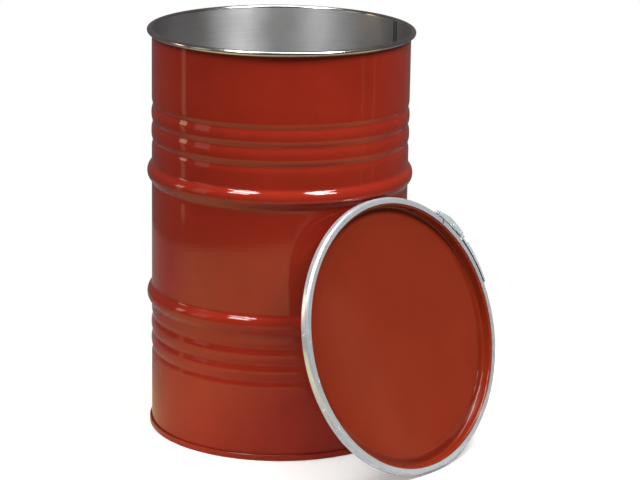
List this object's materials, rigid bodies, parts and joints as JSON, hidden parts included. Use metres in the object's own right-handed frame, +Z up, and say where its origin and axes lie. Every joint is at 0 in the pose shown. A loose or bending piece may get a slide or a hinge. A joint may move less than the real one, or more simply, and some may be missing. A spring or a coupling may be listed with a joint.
{
  "type": "steel oil drum",
  "caption": "Open-head steel drum with rolling hoops and grooved bands, its loose lid with lever-lock closing ring leaning against the side.",
  "frame": {"origin": "centre of the chime's flat standing face, on the drum's axis at floor level", "axes": "+Z up along the drum's axis to its open mouth; -Y is the front; the lid leans on the front right, between +X and -Y"},
  "size_m": [0.7861, 0.8166, 0.911],
  "materials": {
    "shell_paint": "glossy oxide-red paint outside, bare oiled steel inside",
    "lid_paint": "glossy oxide-red paint",
    "seam_compound": "dull cured compound",
    "gasket_rubber": "matt foam rubber",
    "ring_steel": "bright zinc-plated steel",
    "latch_steel": "bright zinc-plated pressed steel",
    "pin_steel": "satin steel rivet"
  },
  "bodies": {
    "drum": {"drum_shell": "shell_paint", "bottom_head": "shell_paint", "bottom_seal": "seam_compound"},
    "lid": {"lid": "lid_paint", "lid_gasket": "gasket_rubber", "ring_catch_half": "ring_steel", "catch_bracket": "latch_steel", "catch_pin": "pin_steel"},
    "ring_half": {"ring_lever_half": "ring_steel", "lever_bracket": "latch_steel", "lever_pin": "pin_steel"},
    "lever": {"lever": "latch_steel", "link_pin": "pin_steel"},
    "link": {"link": "latch_steel"}
  },
  "joints": [
    {"name": "lid_tip", "type": "hinge", "parent": "drum", "child": "lid", "pos_m": [0.33551, -0.3473, 0.008], "axis": [0.6796, 0.7336, 0], "range_deg": [0, 107.6]},
    {"name": "ring_open", "type": "hinge", "parent": "lid", "child": "ring_half", "pos_m": [0.35047, -0.33244, 0.00261], "axis": [-0.6989, 0.6474, -0.3039], "range_deg": [0, 1.05]},
    {"name": "lever_turn", "type": "hinge", "parent": "ring_half", "child": "lever", "pos_m": [0.38634, -0.06963, 0.48008], "axis": [0.6989, -0.6474, 0.3039], "range_deg": [0, 150]},
    {"name": "link_turn", "type": "hinge", "parent": "lever", "child": "link", "pos_m": [0.40017, -0.06293, 0.46253], "axis": [0.6989, -0.6474, 0.3039], "range_deg": [-150, 0]}
  ],
  "couplings": [
    {"joint": "ring_open", "follows": "lever_turn", "ratio": 0.007},
    {"joint": "link_turn", "follows": "lever_turn", "ratio": -1}
  ]
}
